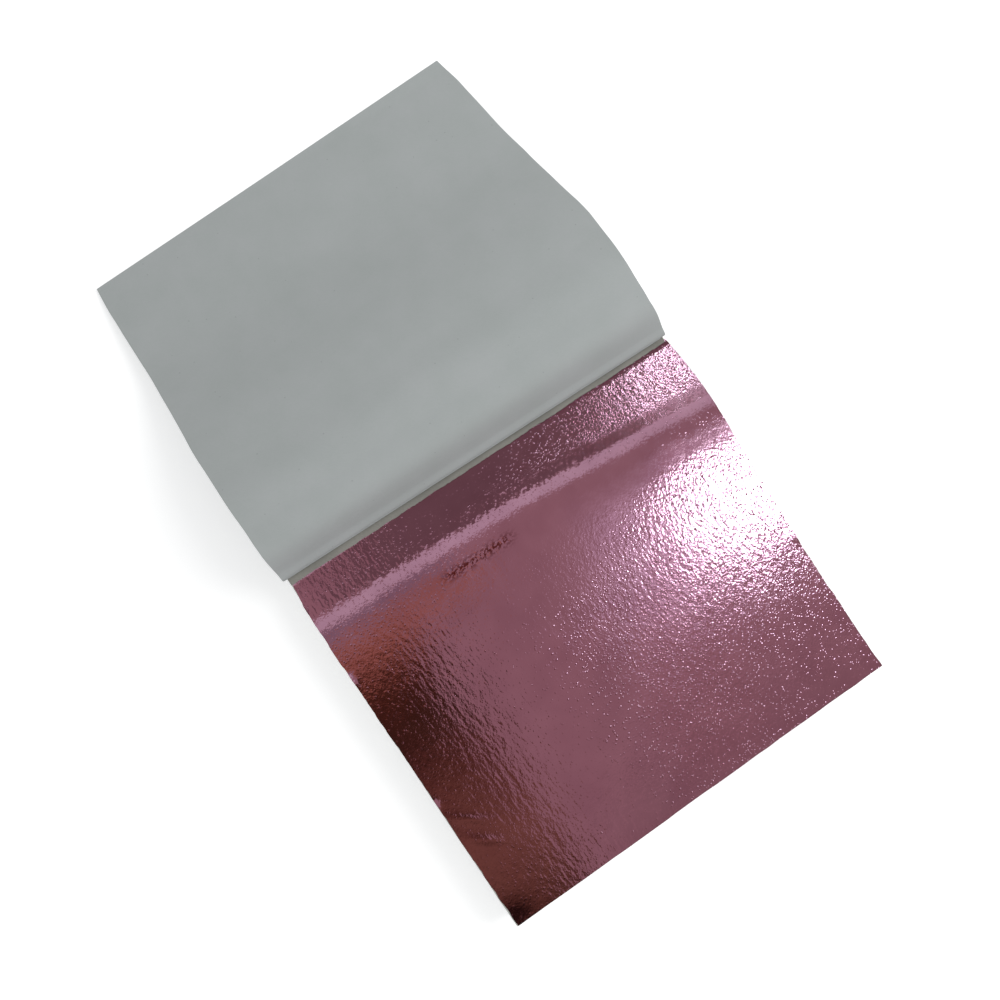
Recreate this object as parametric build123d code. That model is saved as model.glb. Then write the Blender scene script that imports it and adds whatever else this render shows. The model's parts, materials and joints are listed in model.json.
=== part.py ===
from build123d import *
import math
import os

# A booklet of loose metal leaf between tissues, lying open at its top leaf.
# X runs along the fold, +Y towards the turned front cover and +Z up.
# The origin is on the table, under the middle of the fold.

# Sheets: the width runs along the fold, the depth from the spine to the free edge
sheet_width = 85.0
sheet_depth = 80.0
pair_count = 25
tissue_thickness = 0.2
leaf_thickness = 0.06

# Binding: the margin behind the fold, and the ramp on which the sheets leave it
binding_margin = 3.5
ramp_depth = 9.0
loose_gap = 0.06

# Leaves: how far each one stops short of the tissue's edges and of the fold
leaf_inset = 0.25
leaf_fold_gap = 0.6
slip_gap = 0.05

# Stub of the torn tissue: how far it reaches past the fold at its two ends
stub_reach_left = 1.9
stub_reach_right = 0.95

# Staples in the margin
wire_thickness = 0.4
staple_crown = 12.0
staple_foot = 4.0
staple_spacing = 45.0
staple_play = 0.05

# Cover card, wider and deeper than the sheets
card_thickness = 0.3
cover_side_overhang = 0.75
cover_free_overhang = 2.0

# Front cover as it lies open: strips between its creases, and their slopes
crown_strip = 11.0
shoulder_strip = 14.0
slope_strip = 22.0
root_rise_deg = 52.0
crown_rise_deg = 8.0
shoulder_fall_deg = 16.0
slope_fall_deg = 25.0
root_crease_gap = 0.3
crease_gap = 0.15
table_gap = 0.05

# Heights of the pile, from the table up
pair_thickness = tissue_thickness + leaf_thickness
loose_pitch = pair_thickness + loose_gap
pressed_base = card_thickness + wire_thickness + staple_play
free_depth = sheet_depth - binding_margin
top_tissue_pressed = pressed_base + (pair_count - 1) * pair_thickness
top_tissue_loose = card_thickness + (pair_count - 1) * loose_pitch
top_leaf_lift = tissue_thickness + slip_gap
stub_lift = top_leaf_lift + leaf_thickness + slip_gap
stub_top = top_tissue_pressed + stub_lift + tissue_thickness
crown_top = stub_top + wire_thickness
leaf_top = top_tissue_loose + top_leaf_lift + leaf_thickness

# Cover sizes that follow the pile
cover_width = sheet_width + 2 * cover_side_overhang
cover_free_depth = free_depth + cover_free_overhang
flange_base = crown_top + staple_play
flange_top = flange_base + card_thickness
spine_outside = binding_margin + card_thickness
hinge_height = flange_base + card_thickness / 2


def along_fold(points, width):
    """A solid with this outline in the YZ plane, centred on the middle of the fold."""
    outline = Plane.YZ * make_face(Polyline(*points, close=True))
    return extrude(outline, amount=width / 2, both=True)


def ramp_height(y, pressed, loose):
    """Underside of a sheet at y, from its height in the margin to its height in the loose pad."""
    share = min(max(-y / ramp_depth, 0), 1)
    return pressed + (loose - pressed) * share


def bent_sheet(spine_edge, free_edge, pressed, loose, thickness, width):
    """A sheet that lies flat in the margin and in the pad, with a straight ramp between."""
    stations = [y for y in (0, -ramp_depth) if free_edge < y < spine_edge]
    stations = [spine_edge] + stations + [free_edge]
    under = [(y, ramp_height(y, pressed, loose)) for y in stations]
    over = [(y, z + thickness) for y, z in reversed(under)]
    return along_fold(under + over, width)


def staple_centres():
    return (-staple_spacing / 2, staple_spacing / 2)


def leg_holes():
    """Square holes for the four staple legs, right through the pile."""
    hole = wire_thickness + 2 * staple_play
    leg_offset = (staple_crown - wire_thickness) / 2
    holes = []
    for centre in staple_centres():
        for side in (-1, 1):
            place = Pos(centre + side * leg_offset, binding_margin / 2, 0)
            holes.append(place * Box(hole, hole, 2 * flange_top))
    return holes


def tissue(index):
    """Tissue number index, counted from the bottom of the pile."""
    sheet = bent_sheet(
        binding_margin,
        -free_depth,
        pressed_base + index * pair_thickness,
        card_thickness + index * loose_pitch,
        tissue_thickness,
        sheet_width,
    )
    return sheet - leg_holes()


def leaf(index, lift):
    """Leaf on tissue number index, its underside raised by lift from the tissue's underside."""
    return bent_sheet(
        -leaf_fold_gap,
        leaf_inset - free_depth,
        pressed_base + index * pair_thickness + lift,
        card_thickness + index * loose_pitch + lift,
        leaf_thickness,
        sheet_width - 2 * leaf_inset,
    )


def torn_stub():
    """Bound edge of the tissue torn off the top leaf, its torn side slanting along the fold."""
    longest = max(stub_reach_left, stub_reach_right)
    strip = bent_sheet(
        binding_margin,
        -longest,
        top_tissue_pressed + stub_lift,
        top_tissue_loose + stub_lift,
        tissue_thickness,
        sheet_width,
    )
    half = sheet_width / 2
    plan = Polyline(
        (-half, binding_margin),
        (half, binding_margin),
        (half, -stub_reach_right),
        (-half, -stub_reach_left),
        close=True,
    )
    kept = extrude(make_face(plan), amount=flange_top)
    return (strip & kept) - leg_holes()


def staple(centre):
    """Wire staple: its crown on the stub, its feet bent inwards under the lowest tissue."""
    half = staple_crown / 2
    foot_tip = half - staple_foot
    low = card_thickness
    wire = wire_thickness
    right = [
        (foot_tip, low),
        (foot_tip, low + wire),
        (half - wire, low + wire),
        (half - wire, crown_top - wire),
    ]
    outer = [(half, low), (half, crown_top)]
    mirrored_outer = [(-x, z) for x, z in reversed(outer)]
    mirrored_right = [(-x, z) for x, z in right]
    points = outer + mirrored_outer + mirrored_right + list(reversed(right))
    outline = Plane.XZ * make_face(Polyline(*points, close=True))
    bar = extrude(outline, amount=wire / 2, both=True)
    return Pos(centre, binding_margin / 2, 0) * bar


def cover_wrap():
    """Back cover, spine and the flange glued over the staples, folded from one card."""
    outline = [
        (-cover_free_depth, 0),
        (spine_outside, 0),
        (spine_outside, flange_top),
        (root_crease_gap, flange_top),
        (root_crease_gap, flange_base),
        (binding_margin, flange_base),
        (binding_margin, card_thickness),
        (-cover_free_depth, card_thickness),
    ]
    wrap = along_fold(outline, cover_width)
    bends = wrap.edges().filter_by(Axis.X).group_by(Axis.Y)[-1]
    return fillet(bends, radius=card_thickness)


def front_cover_strips():
    """Name, length and slope in degrees of each strip, from the fold to the free edge."""
    strips = [
        ("front_cover_root", ramp_depth, root_rise_deg),
        ("front_cover_crown", crown_strip, crown_rise_deg),
        ("front_cover_shoulder", shoulder_strip, -shoulder_fall_deg),
        ("front_cover_slope", slope_strip, -slope_fall_deg),
    ]
    edge_strip = cover_free_depth - sum(length for _, length, _ in strips)
    height = hinge_height
    for _, length, slope in strips:
        height += length * math.sin(math.radians(slope))
    resting_height = card_thickness / 2 + table_gap
    edge_slope = math.degrees(math.asin((resting_height - height) / edge_strip))
    return strips + [("front_cover_edge", edge_strip, edge_slope)]


def crease_places():
    """Y and Z of the crease that each strip turns about, in the same order."""
    y, z = 0, hinge_height
    places = []
    for _, length, slope in front_cover_strips():
        places.append((y, z))
        y += length * math.cos(math.radians(slope))
        z += length * math.sin(math.radians(slope))
    return places


def front_cover():
    """The front cover's flat strips, with a narrow gap at each crease."""
    strips = front_cover_strips()
    made = {}
    for number, (name, length, slope) in enumerate(strips):
        near_gap = crease_gap if number else root_crease_gap
        far_gap = crease_gap if number < len(strips) - 1 else 0
        y, z = crease_places()[number]
        card = Box(
            cover_width,
            length - near_gap - far_gap,
            card_thickness,
            align=(Align.CENTER, Align.MIN, Align.CENTER),
        )
        made[name] = Location((0, y, z), (slope, 0, 0)) * Pos(0, near_gap, 0) * card
    return made


def all_nodes():
    """Every piece of the booklet by name; tissue_01 and leaf_01 are the top pair."""
    nodes = {"cover_wrap": cover_wrap(), "torn_tissue_stub": torn_stub()}
    nodes.update(front_cover())
    for side, centre in zip(("left", "right"), staple_centres()):
        nodes[f"staple_{side}"] = staple(centre)
    for index in range(pair_count):
        number = pair_count - index
        lift = top_leaf_lift if number == 1 else tissue_thickness
        nodes[f"tissue_{number:02d}"] = tissue(index)
        nodes[f"leaf_{number:02d}"] = leaf(index, lift)
    return nodes


os.makedirs("parts", exist_ok=True)
for name, shape in all_nodes().items():
    export_step(shape, f"parts/{name}.step")
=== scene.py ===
import json
import math
import bpy
import numpy as np
from mathutils import Matrix, Vector

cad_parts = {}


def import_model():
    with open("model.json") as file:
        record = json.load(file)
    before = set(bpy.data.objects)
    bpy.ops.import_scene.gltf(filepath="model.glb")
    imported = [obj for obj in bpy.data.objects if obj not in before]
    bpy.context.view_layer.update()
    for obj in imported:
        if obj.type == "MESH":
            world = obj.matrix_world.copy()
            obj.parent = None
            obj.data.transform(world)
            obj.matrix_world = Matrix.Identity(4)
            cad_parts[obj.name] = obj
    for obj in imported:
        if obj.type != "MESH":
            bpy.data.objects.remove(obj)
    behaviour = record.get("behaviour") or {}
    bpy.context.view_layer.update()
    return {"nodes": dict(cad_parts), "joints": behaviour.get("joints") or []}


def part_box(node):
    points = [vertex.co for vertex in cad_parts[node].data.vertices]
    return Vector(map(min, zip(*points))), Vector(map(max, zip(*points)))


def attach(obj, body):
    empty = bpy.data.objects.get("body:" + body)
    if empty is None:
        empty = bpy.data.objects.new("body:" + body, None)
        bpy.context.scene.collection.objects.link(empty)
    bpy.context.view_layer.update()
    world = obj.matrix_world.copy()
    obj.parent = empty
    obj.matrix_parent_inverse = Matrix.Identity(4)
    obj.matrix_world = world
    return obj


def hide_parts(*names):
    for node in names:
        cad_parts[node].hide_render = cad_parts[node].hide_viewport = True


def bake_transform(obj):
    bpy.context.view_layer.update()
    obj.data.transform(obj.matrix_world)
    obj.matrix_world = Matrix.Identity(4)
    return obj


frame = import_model()

# Sizes are in millimetres unless a name says otherwise, and meshes are made in metres.
# A pair that along_fold takes holds a value's sizes at the left and at the right end of the fold.
# A pair whose name ends in rise holds where a smooth rise starts and how wide it is: along +X or +Y,
# or along -X where the name says leftward and -Y where it says outward.
# A pair whose name ends in cell holds the size of a noise's cells in X and in Y.
MM = 0.001
SEED = 41

# Sizes read from the frame
leaf_low, leaf_high = [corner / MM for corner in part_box("leaf_01")]
tissue_low, tissue_high = [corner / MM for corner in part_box("tissue_01")]
wrap_low, wrap_high = [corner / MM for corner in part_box("cover_wrap")]
edge_low, edge_high = [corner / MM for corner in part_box("front_cover_edge")]
lowest_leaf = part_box("leaf_25")[1] / MM
second_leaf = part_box("leaf_02")[1] / MM
sheet_pairs = sum(name.startswith("leaf_") for name in frame["nodes"])
hinges = [joint for joint in frame["joints"] if joint["type"] == "hinge"]
creases = [Vector(joint["pos_m"]) / MM for joint in hinges]
page_top = leaf_high.z
loose_pitch = (second_leaf.z - lowest_leaf.z) / (sheet_pairs - 2)

# Thicknesses, as in the solids
card_thickness = 0.3
tissue_thickness = 0.2
foil_thickness = 0.06

# Camera, as in the photograph
camera_place = (-21.1, -15.1, 193.8)
camera_aim = (-0.95, -8.33, 8.3)
camera_roll_deg = 37.47
camera_lens = 35.14
camera_sensor = 36
camera_clip_m = (0.01, 20)

# Ridge where the pressed margin meets the loose pad: it runs aslant across the page
ridge_middle_y = -8.8
ridge_slant = -0.085
ridge_bend = -0.0006
ridge_round = 7.0
ramp_slope = (0.110, 0.088)

# Slow and fast unevenness of the pad, and its droop at the left corner of the free edge
slow_wave_cell, slow_wave_height = (19, 23), 0.05
fast_wave_cell, fast_wave_height = (8, 11), 0.012
corner_droop = 0.24
corner_reach = 4.0

# X of the top leaf's two side edges at these places from the fold to the free edge
leaf_edge_stations = (0.0, -6.0, -13.0, -20.0, -34.0, -47.0, -61.0, -76.3)
leaf_right_edge = (44.4, 45.0, 45.1, 44.7, 43.8, 43.1, 42.7, 42.6)
leaf_left_edge = (-42.4, -42.8, -42.9, -42.9, -42.7, -42.5, -42.6, -42.3)

# X of the front cover's two side edges, this far along the card from the fold
cover_edge_stations = (0.0, 10.0, 20.0, 32.0, 53.0, 72.0, 82.0)
cover_right_edge = (44.4, 43.1, 43.3, 43.9, 43.3, 41.5, 39.5)
cover_left_edge = (-43.3, -43.1, -43.2, -43.5, -43.4, -43.4, -42.8)

# Slanting edges: how much longer the cover's far edge is than the solids, how much shorter the
# free edges of the leaf and of the pile are, and Y of the cover's near edge and of the torn edge
cover_far_extra = (-0.7, 3.3)
leaf_free_slant = (0.75, 0.05)
pile_free_slant = (1.2, 0.5)
fold_edge = (1.75, 0.72)
torn_edge = (0.20, -0.42)
free_edge_reach = 10
free_rough_depth = 0.06


# Shared helpers
def smoothstep(share):
    share = np.clip(share, 0, 1)
    return share * share * (3 - 2 * share)


def rising(value, start, width):
    """0 up to the start, 1 a width further on, and a smooth step between."""
    return smoothstep((value - start) / width)


def band(value, middle, width):
    """A smooth hump of height 1 where the value is at its middle."""
    return np.exp(-(((value - middle) / width) ** 2))


def spot(x, y, middle_x, middle_y, radius):
    """A smooth round hump of height 1."""
    return np.exp(-((x - middle_x) ** 2 + (y - middle_y) ** 2) / radius**2)


def along_fold(x, ends):
    """A value that changes evenly along the fold, from the sheets' left edge to their right."""
    share = (x - tissue_low.x) / (tissue_high.x - tissue_low.x)
    return ends[0] + (ends[1] - ends[0]) * share


def near_free_edge(y, free_edge):
    """A share that grows evenly from 0 to 1 over the last millimetres before the free edge."""
    return np.clip((free_edge + free_edge_reach - y) / free_edge_reach, 0, 1)


def smooth_noise(x, y, cell, seed):
    """Smooth random values from -1 to 1 at these places, one cell apart."""
    side = 512
    table = np.random.default_rng(SEED + seed).uniform(-1, 1, (side, side))
    u, v = x / cell[0], y / cell[1]
    column, row = np.floor(u).astype(int), np.floor(v).astype(int)
    across, along = smoothstep(u - column), smoothstep(v - row)
    column, row = column % side, row % side
    next_column, next_row = (column + 1) % side, (row + 1) % side
    near = table[row, column] * (1 - across) + table[row, next_column] * across
    far = table[next_row, column] * (1 - across) + table[next_row, next_column] * across
    return near * (1 - along) + far * along


def uneven(line, depth, length, seed):
    """Smooth random unevenness of an edge, up to this depth and one length apart."""
    return depth * smooth_noise(line, np.zeros_like(line), (length, 1), seed)


def from_edge_to_edge(left, right, columns):
    """X of a row of points between each pair of side edges."""
    share = np.linspace(0, 1, columns)[None, :]
    return left[:, None] * (1 - share) + right[:, None] * share


# Meshes
sharp_angle_deg = 50


def grid_faces(rows, columns, first=0, flipped=False):
    """Quads over a grid of points, seen from above when rows run along +Y and columns along +X."""
    index = first + np.arange(rows * columns).reshape(rows, columns)
    corners = (index[:-1, :-1], index[:-1, 1:], index[1:, 1:], index[1:, :-1])
    quads = np.stack([corner.ravel() for corner in corners], 1)
    return quads[:, ::-1] if flipped else quads


def rim_faces(rows, columns):
    """Quads that join the upper grid's border to the lower grid's."""
    index = np.arange(rows * columns).reshape(rows, columns)
    loop = np.concatenate([index[0, :-1], index[:-1, -1], index[-1, :0:-1], index[:0:-1, 0]])
    after = np.roll(loop, -1)
    lower = rows * columns
    return np.stack([loop, loop + lower, after + lower, after], 1)


def sheet_geometry(x, y, z, thickness):
    """Points and quads of a closed thin sheet round this grid of middle points."""
    middle = np.stack([x, y, z], 2)
    rows, columns = x.shape
    normal = np.cross(np.gradient(middle, axis=1), np.gradient(middle, axis=0))
    normal /= np.linalg.norm(normal, axis=2, keepdims=True)
    half = np.asarray(thickness / 2)[..., None] * normal
    points = np.concatenate([(middle + half).reshape(-1, 3), (middle - half).reshape(-1, 3)])
    lower = grid_faces(rows, columns, rows * columns, flipped=True)
    faces = np.concatenate([grid_faces(rows, columns), lower, rim_faces(rows, columns)])
    return points, faces


def new_piece(name, points, faces, material):
    """A smooth mesh from points in millimetres, with its sharp edges kept sharp."""
    mesh = bpy.data.meshes.new(name)
    mesh.from_pydata((points * MM).tolist(), [], faces.tolist())
    mesh.polygons.foreach_set("use_smooth", [True] * len(mesh.polygons))
    mesh.set_sharp_from_angle(angle=math.radians(sharp_angle_deg))
    mesh.materials.append(material)
    piece = bpy.data.objects.new(name, mesh)
    bpy.context.scene.collection.objects.link(piece)
    return piece


def flat_panel(name, size, material, faces_down=False):
    """A single flat rectangle, its middle at the origin."""
    x, y = size[0] / 2, size[1] / 2
    points = np.array([(-x, -y, 0), (x, -y, 0), (x, y, 0), (-x, y, 0)], float)
    corners = [3, 2, 1, 0] if faces_down else [0, 1, 2, 3]
    return new_piece(name, points, np.array([corners]), material)


def joined(parts):
    """Points and quads of several sheets as one mesh."""
    points, faces, count = [], [], 0
    for part_points, part_faces in parts:
        points.append(part_points)
        faces.append(part_faces + count)
        count += len(part_points)
    return np.concatenate(points), np.concatenate(faces)


# Shader helpers. The Mix node has a set of sockets for each kind of data, and these are its colours
FIRST_COLOUR, SECOND_COLOUR, MIXED_COLOUR = 6, 7, 2


def srgb(red, green, blue):
    """A display colour from 0 to 255 as the linear colour that the shaders take."""
    shares = [value / 255 for value in (red, green, blue)]
    return [c / 12.92 if c <= 0.04045 else ((c + 0.055) / 1.055) ** 2.4 for c in shares] + [1]


class NodeTree:
    """A tree of shader nodes, with short ways to add nodes and to join them."""

    def __init__(self, owner, output_kind):
        owner.use_nodes = True
        self.tree = owner.node_tree
        self.tree.nodes.clear()
        self.output = self.node(output_kind)

    def feed(self, socket, value):
        """Join the socket to the value where that is a socket too, and set it otherwise."""
        if isinstance(value, bpy.types.NodeSocket):
            self.tree.links.new(value, socket)
        else:
            socket.default_value = value

    def node(self, kind, inputs=None, **settings):
        made = self.tree.nodes.new("ShaderNode" + kind)
        for name, value in settings.items():
            setattr(made, name, value)
        for name, value in (inputs or {}).items():
            self.feed(made.inputs[name], value)
        return made

    def maths(self, operation, first, second=0.0, clamp=False):
        inputs = {0: first, 1: second}
        return self.node("Math", inputs, operation=operation, use_clamp=clamp).outputs[0]

    def is_seen(self):
        """1 for rays from the camera and for mirrored or transmitted ones, and 0 for other light."""
        rays = self.node("LightPath").outputs
        share = rays["Is Camera Ray"]
        for ray in ("Is Glossy Ray", "Is Transmission Ray"):
            share = self.maths("MAXIMUM", share, rays[ray])
        return share

    def show(self, closure):
        self.feed(self.output.inputs["Surface"], closure)

    def show_mixed(self, share, first, second):
        mixed = self.node("MixShader", {0: share, 1: first.outputs[0], 2: second.outputs[0]})
        self.show(mixed.outputs[0])


class Shader(NodeTree):
    """A material's node tree, which works in millimetres on the object."""

    def __init__(self, name):
        self.material = bpy.data.materials.new(name)
        super().__init__(self.material, "OutputMaterial")
        self.place = self.node("TexCoord").outputs["Object"]

    def millimetres(self, stretch=(1, 1, 1), turn_deg=0):
        """The place on the object in millimetres, stretched so that grain runs one way."""
        scale = [value / MM for value in stretch]
        turned = self.node("VectorRotate", {"Vector": self.place, "Angle": math.radians(turn_deg)})
        return self.node("VectorMath", {0: turned.outputs[0], 1: scale}, operation="MULTIPLY").outputs[0]

    def noise(self, scale, detail=2, stretch=(1, 1, 1), turn_deg=0, roughness=0.5):
        inputs = {"Vector": self.millimetres(stretch, turn_deg), "Scale": scale, "Detail": detail}
        inputs["Roughness"] = roughness
        return self.node("TexNoise", inputs).outputs["Fac"]

    def cells(self, cells_per_mm):
        """Distance to the nearest of many scattered points, and a random value for each point."""
        cells = self.node("TexVoronoi", {"Vector": self.millimetres(), "Scale": cells_per_mm}).outputs
        chance = self.node("TexWhiteNoise", {"Vector": cells["Position"]}, noise_dimensions="3D")
        return cells["Distance"], chance.outputs["Value"]

    def attribute(self, name):
        return self.node("Attribute", attribute_name=name).outputs["Fac"]

    def remap(self, value, low, high, to_low=0, to_high=1, **settings):
        inputs = {"Value": value, "From Min": low, "From Max": high, "To Min": to_low, "To Max": to_high}
        return self.node("MapRange", inputs, **settings).outputs["Result"]

    def mix(self, share, first, second):
        made = self.node("Mix", {"Factor": share}, data_type="RGBA")
        self.feed(made.inputs[FIRST_COLOUR], first)
        self.feed(made.inputs[SECOND_COLOUR], second)
        return made.outputs[MIXED_COLOUR]

    def bump(self, height, depth, below=None):
        """A relief this many millimetres deep, on top of the relief below."""
        inputs = {"Height": height, "Distance": depth * MM, "Strength": 1.0}
        if below is not None:
            inputs["Normal"] = below
        return self.node("Bump", inputs).outputs["Normal"]

    def surface(self, **inputs):
        values = {name.replace("_", " "): value for name, value in inputs.items()}
        self.show(self.node("BsdfPrincipled", values).outputs[0])
        return self.material


# Foil: bright specks as small domes on scattered cells, and the hammered grain between them.
# The speck's radius is a share of a cell.
specks_per_mm = 2.0
speck_rarity = 3.5
speck_radius_share = 0.42
speck_height = 0.044
rare_speck_from = 0.25
common_speck = 0.52
hammer_depth = 0.022
# The foil's two tones that differ at random, and the dark red of the painted shade in the crease
foil_dark, foil_light, foil_painted_crease_shade = srgb(125, 79, 91), srgb(132, 85, 97), srgb(78, 32, 32)
foil_least_rough, foil_most_rough = 0.045, 0.08


def foil_material():
    """Rose metal leaf: hammered strokes that run away from the fold, with fine grains."""
    shader = Shader("rose_foil")
    worked, creased = shader.attribute("worked"), shader.attribute("creased")

    distance, chance = shader.cells(specks_per_mm)
    reach = shader.remap(distance, 0, speck_radius_share)
    dome = shader.maths("SUBTRACT", 1, shader.maths("MULTIPLY", reach, reach))
    strongly_worked = shader.maths("SUBTRACT", worked, rare_speck_from, clamp=True)
    rare = shader.maths("MULTIPLY", shader.maths("POWER", chance, speck_rarity), strongly_worked)
    often = shader.maths("MULTIPLY", shader.maths("MULTIPLY", worked, worked), chance)
    common = shader.maths("MULTIPLY", often, common_speck)
    specks = shader.maths("MULTIPLY", dome, shader.maths("ADD", rare, common))
    grain = shader.noise(scale=2.6, detail=1, stretch=(1.15, 0.9, 1), turn_deg=6)
    relief = shader.bump(specks, speck_height)
    relief = shader.bump(shader.maths("MULTIPLY", grain, worked), hammer_depth, relief)

    blotches = shader.remap(shader.noise(scale=0.12, detail=3), low=0.35, high=0.65)
    colour = shader.mix(blotches, foil_dark, foil_light)
    # Painted shade: dark red patches along the crease, in place of the dark reflections of its pits
    crease_shade_patches = shader.noise(scale=2.1, detail=1, stretch=(0.8, 1.2, 1), turn_deg=-20)
    crease_shade_patches = shader.remap(crease_shade_patches, low=0.48, high=0.56)
    colour = shader.mix(shader.maths("MULTIPLY", crease_shade_patches, creased), colour, foil_painted_crease_shade)
    rough = shader.noise(scale=0.5, detail=3)
    rough = shader.remap(rough, 0.3, 0.7, to_low=foil_least_rough, to_high=foil_most_rough)
    return shader.surface(Base_Color=colour, Metallic=1.0, Roughness=rough, Normal=relief)


# Card and tissue: cloudy patches, fibres that run one way, and tiny dark specks on some cells
fibre_depth = 0.012
grain_depth = 0.006
cloud_share = 0.65
paper_specks_per_mm = 0.55
paper_speck_radius_share = 0.07
paper_speck_strength = 0.35
paper_speck_darkness = 0.4
paper_specular = 0.3


def paper_material(name, light, dark, specks_share=0.0, roughness=0.75):
    """Plain card or tissue: faint cloudy patches, fine fibres and a few tiny specks."""
    shader = Shader(name)
    clouds = shader.noise(scale=0.09, detail=4, roughness=0.6)
    fibres = shader.noise(scale=1.6, detail=4, stretch=(1, 2.6, 1), turn_deg=30, roughness=0.65)
    cloudy = shader.maths("MULTIPLY", clouds, cloud_share)
    mottle = shader.maths("ADD", cloudy, shader.maths("MULTIPLY", fibres, 1 - cloud_share))
    colour = shader.mix(shader.remap(mottle, low=0.38, high=0.62), dark, light)
    if specks_share:
        distance, chance = shader.cells(paper_specks_per_mm)
        near = shader.maths("LESS_THAN", distance, paper_speck_radius_share)
        rare = shader.maths("GREATER_THAN", chance, 1 - specks_share)
        share = shader.maths("MULTIPLY", shader.maths("MULTIPLY", near, rare), paper_speck_strength)
        colour = shader.mix(share, colour, [value * paper_speck_darkness for value in dark[:3]] + [1])
    relief = shader.bump(fibres, fibre_depth)
    relief = shader.bump(shader.noise(scale=7.0), grain_depth, relief)
    return shader.surface(
        Base_Color=colour, Roughness=roughness, Normal=relief, Specular_IOR_Level=paper_specular
    )


wire_dark, wire_light = srgb(150, 151, 153), srgb(182, 183, 184)
wire_mark_depth = 0.006


def wire_material():
    """Drawn steel wire with fine marks along it."""
    shader = Shader("staple_steel")
    marks = shader.noise(scale=3.0, detail=4, stretch=(0.3, 4, 4))
    share = shader.remap(marks, low=0.3, high=0.7)
    colour = shader.mix(share, wire_dark, wire_light)
    rough = shader.remap(marks, low=0.3, high=0.7, to_low=0.28, to_high=0.42)
    relief = shader.bump(marks, wire_mark_depth)
    return shader.surface(Base_Color=colour, Metallic=1.0, Roughness=rough, Normal=relief)


foil = foil_material()
card = paper_material("cover_card", srgb(168, 171, 171), srgb(163, 167, 166), specks_share=0.3)
tissue = paper_material("tissue_paper", srgb(210, 210, 204), srgb(204, 204, 198), roughness=0.85)
# Painted shade: the torn tissue is the tissue's own paper painted darker, as it lies in the shade of the
# rising cover
torn_tissue_painted_shade = paper_material("torn_tissue_painted_shade", srgb(140, 137, 131), srgb(124, 122, 116), roughness=0.9)
wire = wire_material()


# Shape of the pile
def past_ridge(x, y):
    """Distance from the ridge towards the fold."""
    return y - (ridge_middle_y + ridge_slant * x + ridge_bend * x**2)


def page_drop(x, y):
    """How far the pressed margin pulls the top sheet down here."""
    slope = along_fold(np.clip(x, tissue_low.x, tissue_high.x), ramp_slope)
    past = past_ridge(x, y)
    share = np.clip(past / ridge_round + 1, 0, 1)
    return slope * (ridge_round / 3 * share**3 + np.clip(past, 0, None))


def page_waves(x, y):
    """Unevenness of the loose pad."""
    slow = smooth_noise(x, y, slow_wave_cell, seed=1) * slow_wave_height
    fast = smooth_noise(x, y, fast_wave_cell, seed=2) * fast_wave_height
    return slow + fast - corner_droop * spot(x, y, leaf_left_edge[-1], leaf_low.y, corner_reach)


def sheet_height(x, y, top):
    """Height of a sheet whose upper side lies at this height in the pad."""
    share = top / page_top
    return top - share * page_drop(x, np.minimum(y, 0)) + share * page_waves(x, y)


# Where the leaf is hammered: on the right of the page, and in the strip by the fold at its two ends.
# It is smooth below the ridge and in the valley behind it, and calmer in the free right corner.
worked_least = 0.38
page_hammered_from_y = -28
page_hammered_climb = 13
page_climb_rise = (0, 32)
page_across_rise = (-18, 26)
page_hammered_width = 9
right_strip_rise = (-10, 36)
right_strip_past_rise = (1, 2)
left_strip_share = 0.5
left_strip_leftward_rise = (14, 12)
left_strip_past_rise = (0.5, 2)
smoothed_share, smoothed_most = 0.8, 0.9
below_ridge_past, below_ridge_width = -8.0, 3.6
below_ridge_rise = (-15, 20)
valley_past, valley_width = 0.6, 1.2
valley_rise = (-5, 30)
calm_corner_share = 0.4
calm_corner_rise = (6, 28)
calm_corner_outward_rise = (46, 18)


def worked_share(x, y):
    """How strongly the leaf is hammered here, from 0 to 1."""
    past = past_ridge(x, y)
    hammered_from = page_hammered_from_y + page_hammered_climb * rising(x, *page_climb_rise)
    right_page = rising(x, *page_across_rise) * rising(hammered_from - y, 0, page_hammered_width)
    right_strip = rising(x, *right_strip_rise) * rising(past, *right_strip_past_rise)
    left_strip = rising(-x, *left_strip_leftward_rise) * rising(past, *left_strip_past_rise)
    most = np.maximum(np.maximum(right_page, right_strip), left_strip_share * left_strip)
    worked = worked_least + (1 - worked_least) * most
    below_ridge = band(past, below_ridge_past, below_ridge_width) * rising(x, *below_ridge_rise)
    valley = band(past, valley_past, valley_width) * rising(x, *valley_rise)
    smoothed = np.clip(smoothed_share * (below_ridge + valley), 0, smoothed_most)
    calmed = calm_corner_share * rising(x, *calm_corner_rise) * rising(-y, *calm_corner_outward_rise)
    return worked * (1 - smoothed) * (1 - calmed)


# Crease that runs along the fold, a little below the ridge: teeth in its relief, and painted shade in
# the foil's colour along it
crease_line_y, crease_line_slant, crease_line_width = -15.3, -0.02, 1.15
crease_line_rise = (-20, 4)
crease_line_leftward_rise = (1, 4)


def crease_share(x, y):
    """How strongly the crease marks the leaf here, from 0 to 1: for its teeth, and for its painted
    shade.
    """
    across = band(y, crease_line_y + crease_line_slant * x, crease_line_width)
    return across * rising(x, *crease_line_rise) * rising(-x, *crease_line_leftward_rise)


# Strokes of the hammered relief, long on the left and short on the right
stroke_turn_deg = 6
stroke_depth = 0.014
long_cell, long_knot_cell, short_cell = (0.42, 1.3), (0.40, 0.6), (0.38, 0.65)
long_knot_share = 0.5
short_share, short_long_share = 0.65, 0.35
shortened_rise = (-14, 22)

# Comb of fine marks over the ridge, weaker on the right
comb_cell, comb_depth = (0.33, 0.55), 0.016
comb_past, comb_width = 0.4, 2.0
comb_fading, comb_fading_rise = 0.75, (5, 22)

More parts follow.
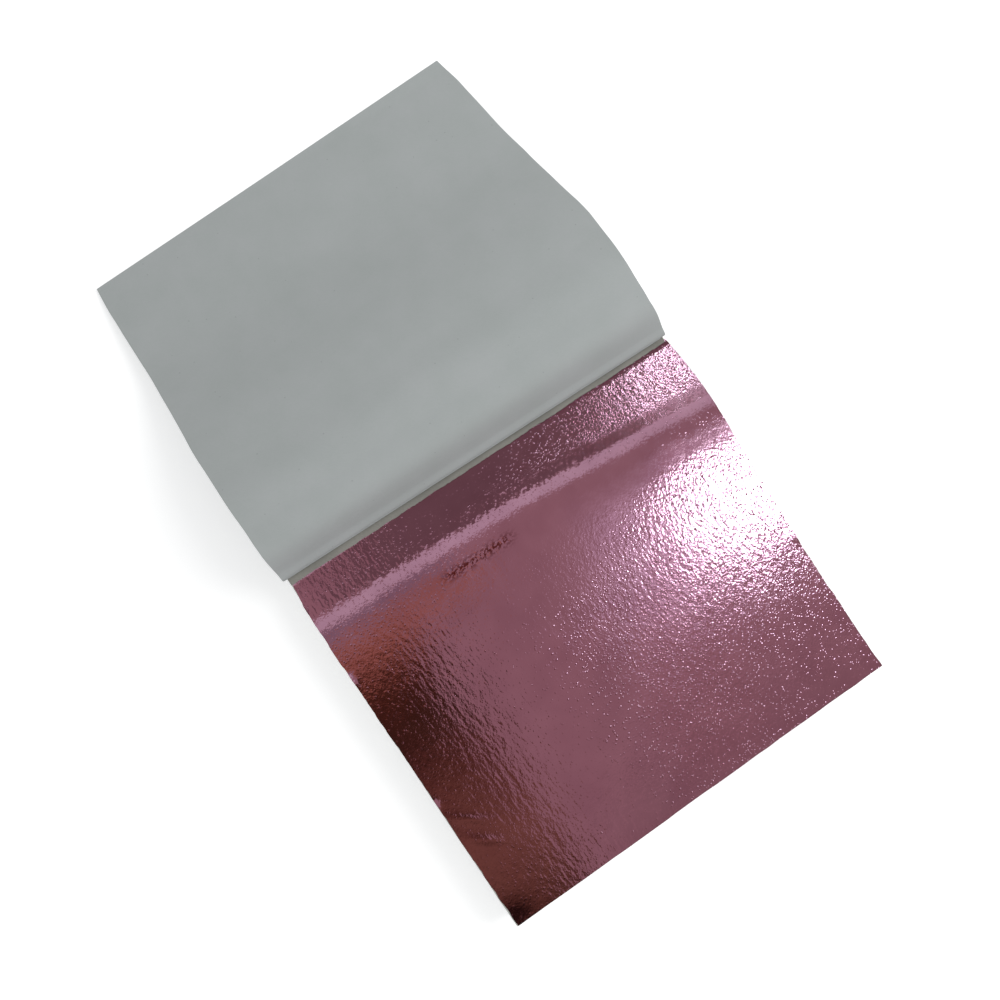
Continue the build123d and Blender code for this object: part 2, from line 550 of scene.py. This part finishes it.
# Teeth along the crease: each falls slowly and climbs fast
tooth_length, tooth_slant, tooth_depth = 1.1, 0.8, 0.035
tooth_cell = (1.3, 0.5)
tooth_fall_share = 0.7

# Short slanting creases near the left edge, by their middles
short_creases = ((-38.9, -54.4), (-38.6, -59.2))
short_crease_slant, short_crease_height = 0.8, 0.05
short_crease_width, short_crease_length = 1.05, 4.5

# Bumps near the edges: X, Y, radius and height
leaf_bumps = ((-43.3, -21.0, 0.9, 0.20), (-43.0, -48.5, 0.8, 0.12), (43.6, -46.5, 1.2, 0.10))

# The leaf's edge by the fold bends up at its left end and down at its right
lip_height = (0.015, -0.07)
lip_width = 0.8


def foil_strokes(x, y):
    """Hammered strokes that run away from the fold."""
    turn = math.radians(stroke_turn_deg)
    across = x * math.cos(turn) + y * math.sin(turn)
    along = y * math.cos(turn) - x * math.sin(turn)
    long = smooth_noise(across, along, long_cell, seed=3)
    knotted = long + long_knot_share * smooth_noise(across, along, long_knot_cell, seed=4)
    short = smooth_noise(across, along, short_cell, seed=19) + short_long_share * long
    shortened = rising(x, *shortened_rise)
    return knotted * (1 - shortened) + short_share * short * shortened


def foil_comb(x, y):
    """Fine marks side by side over the ridge."""
    comb = smooth_noise(x, y, comb_cell, seed=20) * band(past_ridge(x, y), comb_past, comb_width)
    return comb * (1 - comb_fading * rising(x, *comb_fading_rise))


def crease_teeth(x, y):
    """Teeth from 0 to 1 along the crease."""
    tooth = ((x + tooth_slant * y) / tooth_length + smooth_noise(x, y, tooth_cell, seed=18)) % 1
    falling = 1 - tooth / tooth_fall_share
    climbing = (tooth - tooth_fall_share) / (1 - tooth_fall_share)
    return np.where(tooth < tooth_fall_share, falling, climbing)


def edge_relief(x, y):
    """Height of the short creases and the bumps near the leaf's edges."""
    height = np.zeros_like(x)
    for middle_x, middle_y in short_creases:
        off = (x - middle_x) * short_crease_slant + (y - middle_y)
        on = (x - middle_x) - (y - middle_y) * short_crease_slant
        crease = band(off, 0, short_crease_width) * band(on, 0, short_crease_length)
        height = height + short_crease_height * crease
    for bump_x, bump_y, radius, bump_height in leaf_bumps:
        height = height + bump_height * spot(x, y, bump_x, bump_y, radius)
    return height


def foil_relief(x, y):
    """Relief of the top leaf in millimetres."""
    hammered = foil_strokes(x, y) * stroke_depth * worked_share(x, y)
    teeth = crease_teeth(x, y) * tooth_depth * crease_share(x, y)
    lip = along_fold(x, lip_height) * rising(y, along_fold(x, torn_edge) - lip_width, lip_width)
    return hammered + foil_comb(x, y) * comb_depth + teeth + edge_relief(x, y) + lip


# Top leaf: how far it reaches under the torn tissue, its rough and frayed edges, and its mesh
leaf_under_torn = 0.5
leaf_rough_depth = 0.10
leaf_fray_depth, leaf_fray_length = 0.05, 0.7
leaf_rows, leaf_columns = 300, 560


def frayed(edge, line, length, seed):
    """The edge with slow unevenness of this length, and with fine fraying."""
    rough = edge + uneven(line, leaf_rough_depth, length, seed)
    return rough + uneven(line, leaf_fray_depth, leaf_fray_length, seed + 1)


def top_leaf_piece():
    """The loose leaf that lies on top, as one finely worked sheet."""
    y_line = np.linspace(leaf_low.y, leaf_high.y, leaf_rows)
    stations = leaf_edge_stations[::-1]
    left = frayed(np.interp(y_line, stations, leaf_left_edge[::-1]), y_line, length=2.2, seed=5)
    right = frayed(np.interp(y_line, stations, leaf_right_edge[::-1]), y_line, length=2.6, seed=7)
    x = from_edge_to_edge(left, right, leaf_columns)
    near_edge = along_fold(x[-1], torn_edge) + leaf_under_torn
    near_edge = near_edge + uneven(x[-1], leaf_rough_depth, length=1.3, seed=9)
    free_edge = leaf_low.y + along_fold(x[0], leaf_free_slant)
    free_edge = free_edge + uneven(x[0], free_rough_depth, length=3.0, seed=10)
    along = np.linspace(0, 1, leaf_rows)[:, None]
    y = free_edge * (1 - along) + near_edge * along
    z = sheet_height(x, y, page_top) + foil_relief(x, y) - foil_thickness / 2
    piece = new_piece("top_leaf_foil", *sheet_geometry(x, y, z, foil_thickness), foil)
    for name, shares in (("worked", worked_share(x, y)), ("creased", crease_share(x, y))):
        attribute = piece.data.attributes.new(name, "FLOAT", "POINT")
        attribute.data.foreach_set("value", np.tile(shares.ravel(), 2))
    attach(piece, "top_leaf")
    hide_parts("leaf_01")


# Sheets of the pile: how far each may be askew, its uneven edges, what it is thinner than
# the solids so that no two touch, and its mesh
askew_x = (-0.16, 0.16)
askew_y = (-0.22, 0.06)
side_rough_depth, side_rough_length, side_rough_reach = 0.05, 3, 0.1
free_rough_length = 4
tissue_seed, leaf_seed, free_edge_seed = 100, 200, 50
tissue_play = 0.015
leaf_play = 0.01
pile_rows, pile_columns = 44, 40


def pile_sheet(number, low, high, top, thickness, seed):
    """One sheet of the pile, a little askew, with slightly uneven edges."""
    draw = np.random.default_rng(SEED + seed + number)
    shift_x, shift_y = draw.uniform(*askew_x), draw.uniform(*askew_y)
    x_line = np.linspace(low.x, high.x, pile_columns)
    fold_rows = pile_rows // 2
    near_fold = np.linspace(high.y, ridge_middle_y * 2, fold_rows)
    beyond = np.linspace(near_fold[-1], low.y, pile_rows - fold_rows + 1)[1:]
    y_line = np.concatenate([near_fold, beyond])[::-1]
    x, y = np.meshgrid(x_line, y_line)
    rough = uneven(y_line, side_rough_depth, side_rough_length, seed + number)[:, None]
    x = x + shift_x + np.where(x > 0, 1, -1) * (np.abs(x) > high.x - side_rough_reach) * rough
    wavy = uneven(x, free_rough_depth, free_rough_length, seed + free_edge_seed + number)
    y = y + near_free_edge(y, low.y) * (shift_y + along_fold(x, pile_free_slant) + wavy)
    return sheet_geometry(x, y, sheet_height(x, y, top) - thickness / 2, thickness)


def pile_pieces():
    """The tissues and the leaves between them, each as its own closed sheet."""
    tissues, leaves = [], []
    for number in range(1, sheet_pairs + 1):
        leaf_top = lowest_leaf.z + (sheet_pairs - number) * loose_pitch
        tissue_top = tissue_high.z if number == 1 else leaf_top - foil_thickness
        thickness = tissue_thickness - 2 * tissue_play
        sizes = (tissue_low, tissue_high, tissue_top - tissue_play, thickness)
        tissues.append(pile_sheet(number, *sizes, tissue_seed))
        if number > 1:
            sizes = (leaf_low, leaf_high, leaf_top, foil_thickness - leaf_play)
            leaves.append(pile_sheet(number, *sizes, leaf_seed))
    names = [f"{number:02d}" for number in range(1, sheet_pairs + 1)]
    for piece_name, parts, material, slot, nodes in (
        ("tissue_pile", tissues, tissue, "tissue", ["tissue_" + name for name in names]),
        ("leaf_pile", leaves, foil, "leaf_foil", ["leaf_" + name for name in names[1:]]),
    ):
        piece = new_piece(piece_name, *joined(parts), material)
        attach(piece, "booklet")
        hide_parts(*nodes)


# Torn tissue: thin at its torn edge, thicker a little behind it, and its mesh
torn_side_inset = 0.3
torn_edge_thickness = 0.03
torn_thickening, torn_thickening_width = 0.15, 0.5
torn_over_leaf = 0.05
torn_rows, torn_columns = 26, 430
torn_row_power = 0.6


def torn_stub_piece():
    """Bound edge of the torn-off tissue, thinning out to a ragged torn edge."""
    x_line = np.linspace(tissue_low.x, leaf_right_edge[0] - torn_side_inset, torn_columns)
    ragged = uneven(x_line, depth=0.08, length=2.4, seed=11)
    ragged = ragged + uneven(x_line, depth=0.06, length=0.5, seed=12)
    share = np.linspace(0, 1, torn_rows)[:, None] ** torn_row_power
    x = np.repeat(x_line[None, :], torn_rows, 0)
    y = (along_fold(x_line, torn_edge) + ragged)[None, :] * (1 - share) + tissue_high.y * share
    thickness = torn_edge_thickness + torn_thickening * rising(y, y[0], torn_thickening_width)
    z = sheet_height(x, y, page_top) + torn_over_leaf + thickness / 2
    piece = new_piece("torn_tissue_edge", *sheet_geometry(x, y, z, thickness), torn_tissue_painted_shade)
    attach(piece, "booklet")
    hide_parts("torn_tissue_stub")


# Front cover: nearly flat when it is closed, and bent over its creases as it lies open.
# Its near edge's shift goes straight back at the fold, slides along the card from slid_from on,
# and fades out at fold_fade.
crease_softness = 0.5
fold_softness = 0.7
slid_from = 9.0
fold_fade = 40
bend_under, bend_over = 0.3, 2.0
bend_rounds = 8
fold_steps, fold_samples, fold_power = 400, 28, 1.6
cover_spacing = 0.6
cover_columns = 90
cover_rough_depth, cover_rough_length = 0.06, 5
cover_wave_cell, cover_wave_height = (24, 20), 0.03
cover_wave_rise = (3, 8)
far_extra_from = 45
table_clearance = 0.01


def direction(angle):
    return np.stack([np.cos(angle), np.sin(angle)], -1)


def cover_lines():
    """Crease places, strip lengths and slopes, read from the frame."""
    places = [np.array([crease.y, crease.z]) for crease in creases]
    far = np.array([edge_high.y, edge_low.z + card_thickness / 2])
    ends = places + [far]
    runs = [b - a for a, b in zip(ends, ends[1:])]
    lengths = [float(np.linalg.norm(run)) for run in runs]
    slopes = [math.atan2(run[1], run[0]) for run in runs]
    return places, lengths, slopes


def blend_share(points, start, end):
    way = end - start
    return smoothstep((points - start) @ way / (way @ way))


def fold_share(arc):
    """How much of the near edge's shift is left this far along the card."""
    return 1 - smoothstep(arc / fold_fade)


def bent_over_crease(place, before, after, slope_before, slope_after, samples):
    """Points across one crease that lie nearly straight once the crease is opened flat."""
    distance = np.linspace(-before, after, samples)
    start = place - before * direction(slope_before)
    end = place + after * direction(slope_after)
    share = rising(distance, -before, before + after)
    for _ in range(bend_rounds):
        slopes = slope_before + share * (slope_after - slope_before)
        points = place + distance[:, None] * direction(slopes)
        share = blend_share(points, start, end)
    along = np.linspace(0, 1, samples)[:, None]
    smooth = start * (1 - along) ** 2 + 2 * place * along * (1 - along) + end * along**2
    return points * (1 - crease_softness) + smooth * crease_softness, start, end


def fold_back(place, reach, closed_slope, open_slope):
    """Points from the fold up into the cover, which lie nearly straight once the cover is closed."""
    height = np.linspace(0, bend_over, fold_steps)
    share = rising(height, -bend_under, bend_over + bend_under)
    angle = closed_slope + share * (open_slope - closed_slope)
    radius = np.append(height / np.sin(angle), reach)
    angle = np.append(angle, open_slope)
    distance = reach * np.linspace(0, 1, fold_samples) ** fold_power
    points = place + distance[:, None] * direction(np.interp(distance, radius, angle))
    straight = place + distance[:, None] * direction(open_slope)
    points = points * (1 - fold_softness) + straight * fold_softness
    return points, place - np.array([0, bend_under]), place + np.array([0, bend_over])


def cover_run(number, lines, closed_slope, passed):
    """Points of one piece of the cover, how far along the card each is, and its bend's start and end."""
    places, lengths, slopes = lines
    place, slope, after = places[number], slopes[number], lengths[number] / 2
    if number == 0:
        points, start, end = fold_back(place, after, closed_slope, slope)
        return points, np.linalg.norm(points - place, axis=1), start, end
    slope_before, before = slopes[number - 1], lengths[number - 1] / 2
    samples = int((before + after) / cover_spacing)
    points, start, end = bent_over_crease(place, before, after, slope_before, slope, samples)
    arc = np.linspace(-before, after, samples) + passed
    mean_shift = sum(fold_edge) / 2
    start = start + mean_shift * fold_share(arc[0]) * direction(slope_before)
    end = end + mean_shift * fold_share(after + passed) * direction(slope)
    if number == len(places) - 1:
        rest = np.arange(after + cover_spacing, lengths[number], cover_spacing)
        points = np.concatenate([points, place + rest[:, None] * direction(slope)])
        arc = np.concatenate([arc, rest + passed])
    return points, arc, start, end


def cover_grid(points, arc, lengths, slopes):
    """X, Y and Z of one piece of the cover, with its slanting edges and slow waves."""
    left = np.interp(arc, cover_edge_stations, cover_left_edge)
    right = np.interp(arc, cover_edge_stations, cover_right_edge)
    left = left + uneven(arc, cover_rough_depth, cover_rough_length, seed=13)
    right = right + uneven(arc, cover_rough_depth, cover_rough_length, seed=14)
    x = from_edge_to_edge(left, right, cover_columns)
    share = np.linspace(0, 1, cover_columns)[None, :]
    extra = cover_far_extra[0] + (cover_far_extra[1] - cover_far_extra[0]) * share
    stretch = rising(arc, far_extra_from, sum(lengths) - far_extra_from)[:, None] * extra
    near_fold = along_fold(x, fold_edge) * fold_share(arc)[:, None]
    middles = np.cumsum(lengths) - np.array(lengths) / 2
    slid = smoothstep(arc / slid_from)[:, None]
    way = slid * direction(np.interp(arc, middles, slopes)) + (1 - slid) * np.array([1, 0])
    y = points[:, :1] + near_fold * way[:, :1] + stretch * math.cos(slopes[-1])
    z = points[:, 1:] + near_fold * way[:, 1:] + stretch * math.sin(slopes[-1])
    waves = smooth_noise(x, arc[:, None] + 0 * x, cover_wave_cell, seed=15) * cover_wave_height
    z = z + waves * rising(arc[:, None], *cover_wave_rise)
    return x, y, np.maximum(z, card_thickness / 2 + table_clearance)


def cover_pieces():
    """The front cover as one smooth card, cut in the middle of each strip and bent at each crease."""
    lines = cover_lines()
    places, lengths, slopes = lines
    closed_slope = slopes[0] + math.radians(hinges[0]["range_deg"][1])
    bodies = ["booklet"] + [joint["child"] for joint in hinges]
    passed = 0
    for number in range(len(places)):
        points, arc, start, end = cover_run(number, lines, closed_slope, passed)
        body = bodies[number + 1]
        geometry = sheet_geometry(*cover_grid(points, arc, lengths, slopes), card_thickness)
        piece = new_piece(body + "_card", *geometry, card)
        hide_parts("front_" + body)
        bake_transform(piece)
        passed += lengths[number]


# Back cover, spine and flange
wrap_bend_radius = 0.45
wrap_columns = 60
flat_points, turn_points, rise_points, flange_points = 70, 7, 14, 8
wrap_rough_depth, wrap_rough_length, wrap_rough_reach = 0.06, 6, 1
flange_end = 0.05
flange_behind_cover = 0.25
flange_tolerance = 0.01


def wrap_piece():
    """Back cover, spine and the flange glued over the staples, folded from one card."""
    low, high = card_thickness / 2, wrap_high.z - card_thickness / 2
    spine, bend = wrap_high.y - card_thickness / 2, wrap_bend_radius
    flange_start = spine - bend
    turn = np.linspace(0, math.pi / 2, turn_points)[1:-1]
    line = [(y, low) for y in np.linspace(wrap_low.y, flange_start, flat_points)]
    line += [(flange_start + bend * math.sin(a), low + bend - bend * math.cos(a)) for a in turn]
    line += [(spine, z) for z in np.linspace(low + bend, high - bend, rise_points)]
    line += [(flange_start + bend * math.cos(a), high - bend + bend * math.sin(a)) for a in turn]
    line += [(y, high) for y in np.linspace(flange_start, flange_end, flange_points)]
    line = np.array(line)
    arc = np.concatenate([[0], np.cumsum(np.linalg.norm(np.diff(line, axis=0), axis=1))])
    sway = uneven(arc, wrap_rough_depth, wrap_rough_length, seed=16)[:, None]
    x = np.linspace(wrap_low.x, wrap_high.x, wrap_columns)[None, :]
    x = x + sway * np.sign(x) * (np.abs(x) > wrap_high.x - wrap_rough_reach)
    y, z = 0 * x + line[:, :1], 0 * x + line[:, 1:]
    on_flange = (z > high - flange_tolerance) * np.clip((flange_start - y) / flange_start, 0, 1)
    flange_shift = on_flange * (along_fold(x, fold_edge) - flange_behind_cover)
    y = y + flange_shift + near_free_edge(y, wrap_low.y) * along_fold(x, pile_free_slant)
    piece = new_piece("wrap_card", *sheet_geometry(x, y, z, card_thickness), card)
    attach(piece, "booklet")
    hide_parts("cover_wrap")


def staple_finish():
    """The staples keep their solids' shape, in drawn steel."""
    for name in ("staple_left", "staple_right"):
        mesh = frame["nodes"][name].data
        mesh.materials.clear()
        mesh.materials.append(wire)


# Stage: floor, soft light, and cards overhead that only reflections see
WHITE = (1, 1, 1)
floor_side = 6000
floor_glow = 0.50
world_light, world_light_strength = (0.97, 0.99, 1.0, 1), 0.60


def grey(value):
    return [value, value, value, 1]


def floor():
    """White where it is seen or mirrored, and plainly grey where it only throws light back."""
    shader = Shader("pale_floor")
    grain = shader.noise(scale=0.02, detail=3)
    plain = shader.node("BsdfDiffuse", {"Color": shader.mix(grain, grey(0.80), grey(0.82))})
    white = shader.node("BsdfDiffuse", {"Color": grey(0.75)})
    glow = shader.node("Emission", {"Color": [*WHITE, 1], "Strength": floor_glow})
    shown = shader.node("AddShader", {0: white.outputs[0], 1: glow.outputs[0]})
    shader.show_mixed(shader.is_seen(), plain, shown)
    flat_panel("floor", (floor_side, floor_side), shader.material)


def world():
    """White behind the object and in its reflections, and an even soft light from all round."""
    made = bpy.data.worlds.new("studio")
    bpy.context.scene.world = made
    nodes = NodeTree(made, "OutputWorld")
    light = nodes.node("Background", {"Color": world_light, "Strength": world_light_strength})
    white = nodes.node("Background", {"Color": [*WHITE, 1], "Strength": 1.0})
    nodes.show_mixed(nodes.is_seen(), light, white)


def soft_card(name, centre, size, shades, fade, strength):
    """A card overhead that only glossy rays see, with edges that fade out.

    The shades are one colour, or places from 0 to 1 with their colours, from the -Y side to +Y.
    """
    shader = Shader(name)
    parts = shader.node("SeparateXYZ", {"Vector": shader.place})
    faded = []
    for axis, extent in zip("XY", size):
        off_middle = shader.maths("ABSOLUTE", parts.outputs[axis])
        inside = shader.maths("SUBTRACT", extent * MM / 2, off_middle)
        faded.append(shader.remap(inside, 0, fade * MM, interpolation_type="SMOOTHSTEP"))
    if not isinstance(shades, list):
        shades = [(0, shades), (1, shades)]
    half = size[1] * MM / 2
    ramp = shader.node("ValToRGB", {"Fac": shader.remap(parts.outputs["Y"], -half, half)})
    stops = ramp.color_ramp.elements
    for place, colour in shades[len(stops):]:
        stops.new(place)
    for stop, (place, colour) in zip(stops, shades):
        stop.position, stop.color = place, [*colour, 1]
    glow = shader.node("Emission", {"Color": ramp.outputs[0], "Strength": strength})
    shader.show_mixed(shader.maths("MULTIPLY", *faded), shader.node("BsdfTransparent"), glow)
    made = flat_panel(name, size, shader.material, faces_down=True)
    made.location = [value * MM for value in centre]
    made.visible_camera = made.visible_diffuse = made.visible_shadow = False
    made.visible_transmission = made.visible_volume_scatter = False


def lamp(name, centre, size, power, colour):
    """A large soft lamp that points at the middle of the booklet."""
    data = bpy.data.lights.new(name, "AREA")
    data.shape, data.size = "DISK", size * MM
    data.energy, data.color = power, colour
    made = bpy.data.objects.new(name, data)
    made.visible_glossy = False
    made.location = [value * MM for value in centre]
    aim = Vector((0, 0, page_top * MM)) - made.location
    made.rotation_euler = aim.to_track_quat("-Z", "Y").to_euler()
    bpy.context.scene.collection.objects.link(made)


def camera():
    data = bpy.data.cameras.new("camera")
    data.lens, data.sensor_width = camera_lens, camera_sensor
    data.clip_start, data.clip_end = camera_clip_m
    made = bpy.data.objects.new("camera", data)
    place, aim = Vector(camera_place), Vector(camera_aim)
    roll = Matrix.Rotation(math.radians(camera_roll_deg), 3, "Z")
    turn = (aim - place).to_track_quat("-Z", "Y").to_matrix() @ roll
    made.matrix_world = Matrix.Translation(place * MM) @ turn.to_4x4()
    bpy.context.scene.collection.objects.link(made)
    bpy.context.scene.camera = made


camera()
top_leaf_piece()
pile_pieces()
torn_stub_piece()
cover_pieces()
wrap_piece()
staple_finish()
floor()
world()
lamp("key_lamp", (340, -50, 350), size=380, power=1.17, colour=(1, 0.99, 0.97))
lamp("fill_lamp", (-60, -420, 170), size=300, power=0.18, colour=WHITE)

# What the foil mirrors: a window and its glow, a second pane, a long bright strip, a dim wall and
# a far one, a dark warm shape, and its cool and its warm edge, which lie a little higher
card_height = 1008
edge_card_height = card_height + 6
pane_shade = (0.55, 0.96, 0.97)
glow_shade = (0.66, 0.90, 1.0)
strip_shade = (0.70, 0.94, 0.98)
cool_shade = (0.80, 0.98, 1.12)
warm_shade = (1.10, 0.74, 0.46)
dark_shades = [
    (0.22, (0.06, 0.04, 0.03)),
    (0.33, (0.28, 0.20, 0.12)),
    (0.49, (0.60, 0.46, 0.30)),
    (0.66, (0.30, 0.19, 0.12)),
    (0.75, (0.13, 0.09, 0.05)),
    (0.86, (0.22, 0.12, 0.06)),
    (0.945, warm_shade),
    (1.0, (1.0, 0.9, 0.75)),
]
soft_card("window", (390, -135, card_height), (200, 140), pane_shade, fade=24, strength=38)
soft_card("window_glow", (350, -140, edge_card_height), (460, 250), glow_shade, fade=105, strength=3.8)
soft_card("side_pane", (465, 240, card_height), (230, 84), pane_shade, fade=12, strength=64)
soft_card("bright_strip", (130, 118, card_height), (740, 118), strip_shade, fade=10, strength=2.4)
soft_card("dim_wall", (308, 420, card_height), (864, 500), WHITE, fade=40, strength=0.50)
soft_card("far_wall", (230, -430, card_height), (560, 240), WHITE, fade=90, strength=0.82)
soft_card("dark_shape", (-302, -305, card_height), (500, 630), dark_shades, fade=30, strength=1.0)
soft_card("cool_edge", (-125, 34, edge_card_height), (300, 52), cool_shade, fade=16, strength=0.95)
soft_card("warm_edge", (-12, -27, edge_card_height), (150, 48), warm_shade, fade=20, strength=1.0)

bpy.context.scene.view_settings.view_transform = "Standard"
